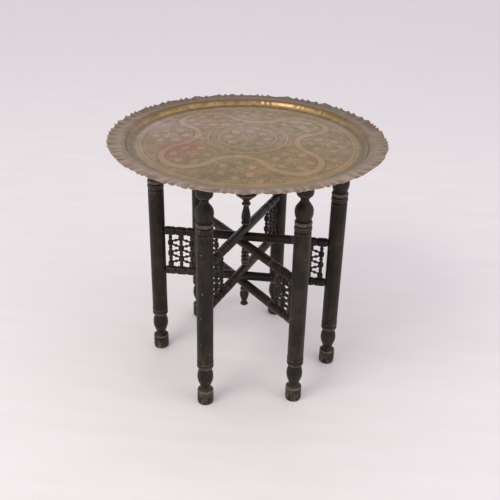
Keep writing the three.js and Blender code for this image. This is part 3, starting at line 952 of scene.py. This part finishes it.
def make_lattice():
    material = wood("lattice_stain", dark=(0.0120, 0.0100, 0.0072), warm=(0.036, 0.025, 0.016),
                    worn=(0.190, 0.140, 0.104), gloss=0.40, wear=0.70)
    gap = centre("rail_a_upper").z - centre("rail_a_lower").z
    half = gap / 2 - BARREL_RADIUS
    core = mesh_of("lattice_core", roughened(lattice_core(half), amount=0.00008, size=0.008), material)
    side = mesh_of("lattice_stick", roughened(stick(half, True), amount=0.00008, size=0.008), material)
    for name in FRAME_NAMES:
        for number in (1, 2):
            for part, mesh in (("core", core), ("inner", side), ("outer", side)):
                node = f"panel_{name}{number}_{part}"
                spot = centre(node)
                facing = math.atan2(spot.y, spot.x)
                show(f"{node}_turned", mesh, node, f"frame_{name}", spot, (0, 0, facing))


# ---------------------------------------------------------------- spindle

def finial_top_strokes(low):
    return [
        [(0, low), (0.0084, low)],
        [(0.0084, low), (0.0100, 0.3486), (0.0105, 0.3506), (0.0100, 0.3528), (0.0084, 0.3542)],
        [(0.0084, 0.3542), (0.0090, 0.3565), (0.0100, 0.3605), (0.0103, 0.3645), (0.0098, 0.3710),
         (0.0083, 0.3790), (0.0066, 0.3865), (0.0058, 0.3915), (0.0060, 0.3938)],
        [(0.0060, 0.3938), (0.0094, 0.3950), (0.0101, 0.3970), (0.0094, 0.3990), (0.0072, 0.4002)],
        [(0.0072, 0.4002), (0.0070, 0.4030), (0.0082, 0.4062), (0.0110, 0.4092)],
        [(0.0110, 0.4092), (0.0123, 0.4100), (0.0158, 0.4135), (0.0213, 0.4178), (0.0233, 0.4195)],
        [(0.0233, 0.4195), (0.0236, 0.4212), (0.0231, 0.4230)],
        [(0.0231, 0.4230), (0.0208, 0.4258), (0.0156, 0.4288), (0.0083, 0.4318), (0, 0.4329)],
    ]


def spool_strokes(low, high):
    beads = []
    for middle in (0.2552, 0.2655, 0.2758):
        beads.append([(0.0056, middle - 0.0050), (0.0084, middle - 0.0030), (0.0094, middle),
                      (0.0084, middle + 0.0030), (0.0056, middle + 0.0050)])
    return [
        [(0, low), (0.0078, low)],
        [(0.0078, low), (0.0083, low + 0.0016), (0.0078, low + 0.0030), (0.0056, beads[0][0][1])],
        beads[0], [beads[0][-1], beads[1][0]],
        beads[1], [beads[1][-1], beads[2][0]],
        beads[2],
        [beads[2][-1], (0.0078, high - 0.0030), (0.0083, high - 0.0016), (0.0078, high)],
        [(0.0078, high), (0, high)],
    ]


def finial_drop_strokes(high):
    return [
        [(0, 0.1370), (0.0050, 0.1373), (0.0080, 0.1385), (0.0092, 0.1405), (0.0085, 0.1428),
         (0.0066, 0.1446)],
        [(0.0066, 0.1446), (0.0062, 0.1475), (0.0072, 0.1520), (0.0094, 0.1595), (0.0106, 0.1660),
         (0.0100, 0.1710), (0.0077, 0.1748)],
        [(0.0077, 0.1748), (0.0074, 0.1762), (0.0092, 0.1774)],
        [(0.0092, 0.1774), (0.0099, 0.1799), (0.0094, 0.1824), (0.0081, 0.1834)],
        [(0.0081, 0.1834), (0.0081, high)],
        [(0.0081, high), (0, high)],
    ]


def rod_strokes(low, high):
    corners = [(0, low), (ROD_RADIUS, low), (ROD_RADIUS, high), (0, high)]
    return [list(side) for side in zip(corners, corners[1:])]


def make_spindle():
    material = wood("spindle_stain", dark=(0.0110, 0.0095, 0.0070), warm=(0.032, 0.022, 0.014),
                    worn=(0.170, 0.120, 0.086), gloss=0.38, wear=0.65)
    low = {node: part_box(node)[0].z for node in ("finial_top", "spool", "pivot_rod")}
    high = {node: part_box(node)[1].z for node in ("finial_drop", "spool", "pivot_rod")}
    pieces = (
        ("finial_top", finial_top_strokes(low["finial_top"]), material, "spindle_wood"),
        ("spool", spool_strokes(low["spool"], high["spool"]), material, "spindle_wood"),
        ("finial_drop", finial_drop_strokes(high["finial_drop"]), material, "spindle_wood"),
        ("pivot_rod", rod_strokes(low["pivot_rod"], high["pivot_rod"]), iron("rod_iron"), "rod_iron"),
    )
    for node, strokes, look, slot in pieces:
        surface = turned(outline(strokes, step=0.0010), SPINDLE_SIDES, reach=0.0025)
        mesh = mesh_of(node, roughened(surface, amount=0.00006, size=0.01), look)
        show(f"{node}_turned", mesh, node, "frame_a")


# ---------------------------------------------------------------- floor, light and camera

CAMERA_PLACE = (0.1837, -1.5262, 1.1164)
CAMERA_HEADING = math.radians(-6.464)  # from +Y, positive towards +X
CAMERA_PITCH = math.radians(28.499)
CAMERA_ROLL = math.radians(1.448)
CAMERA_LENS = 55.9
STAGE_HALF = 6.0  # half the floor's width
STAGE_DROP = 0.0003  # how far the floor lies below the feet, so that their faces don't coincide


def make_camera():
    data = bpy.data.cameras.new("camera")
    data.lens = CAMERA_LENS
    data.clip_start = 0.05
    camera = bpy.data.objects.new("camera", data)
    bpy.context.scene.collection.objects.link(camera)
    level = math.cos(CAMERA_PITCH)
    ahead = Vector((math.sin(CAMERA_HEADING) * level, math.cos(CAMERA_HEADING) * level,
                    -math.sin(CAMERA_PITCH)))
    right = ahead.cross(Vector((0, 0, 1))).normalized()
    up = right.cross(ahead)
    across = right * math.cos(CAMERA_ROLL) + up * math.sin(CAMERA_ROLL)
    above = up * math.cos(CAMERA_ROLL) - right * math.sin(CAMERA_ROLL)
    turn = Matrix((across, above, -ahead)).transposed().to_4x4()
    camera.matrix_world = Matrix.Translation(CAMERA_PLACE) @ turn
    bpy.context.scene.camera = camera


def make_floor():
    s = Shader("pale_floor")
    point = s.point()
    boards = s.noise(s.scaled(point, (1, 6, 1)), 4, detail=4, roughness=0.5)
    colour = s.mix(s.ramp(boards, 0.25, 0.8), (0.858, 0.803, 0.755), (0.885, 0.838, 0.795))
    material = s.finish(colour, s.ramp(boards, 0.3, 0.7, 0.5, 0.65), s.bump(boards, 0.0003))
    mesh = bpy.data.meshes.new("floor")
    signs = ((-1, -1), (1, -1), (1, 1), (-1, 1))
    mesh.from_pydata([(x * STAGE_HALF, y * STAGE_HALF, -STAGE_DROP) for x, y in signs], [], [(0, 1, 2, 3)])
    mesh.materials.append(material)
    floor = bpy.data.objects.new("floor", mesh)
    bpy.context.scene.collection.objects.link(floor)


def area_light(name, place, target, size, power, colour):
    data = bpy.data.lights.new(name, "AREA")
    data.shape = "DISK"
    data.size = size
    data.energy = power
    data.color = colour
    lamp = bpy.data.objects.new(name, data)
    bpy.context.scene.collection.objects.link(lamp)
    lamp.location = place
    lamp.rotation_euler = (Vector(target) - Vector(place)).to_track_quat("-Z", "Y").to_euler()


def make_light():
    world = bpy.data.worlds.new("room")
    world.use_nodes = True
    background = world.node_tree.nodes["Background"]
    background.inputs["Color"].default_value = (0.80, 0.79, 0.88, 1)
    background.inputs["Strength"].default_value = 0.97
    bpy.context.scene.world = world
    area_light("key", (-1.3, -1.6, 2.6), (0, 0, 0.4), size=1.6, power=30, colour=(1.0, 0.97, 0.93))
    area_light("fill", (2.0, -0.8, 1.8), (0, 0, 0.35), size=1.8, power=10, colour=(0.95, 0.96, 1.0))


# ---------------------------------------------------------------- the whole table

noise.seed_set(SEED)  # without it the wood's unevenness differs from run to run
bpy.context.scene.view_settings.view_transform = "Standard"
make_camera()
make_floor()
make_light()
make_tray()
make_legs()
make_rails()
make_lattice()
make_spindle()

bpy.context.view_layer.update()
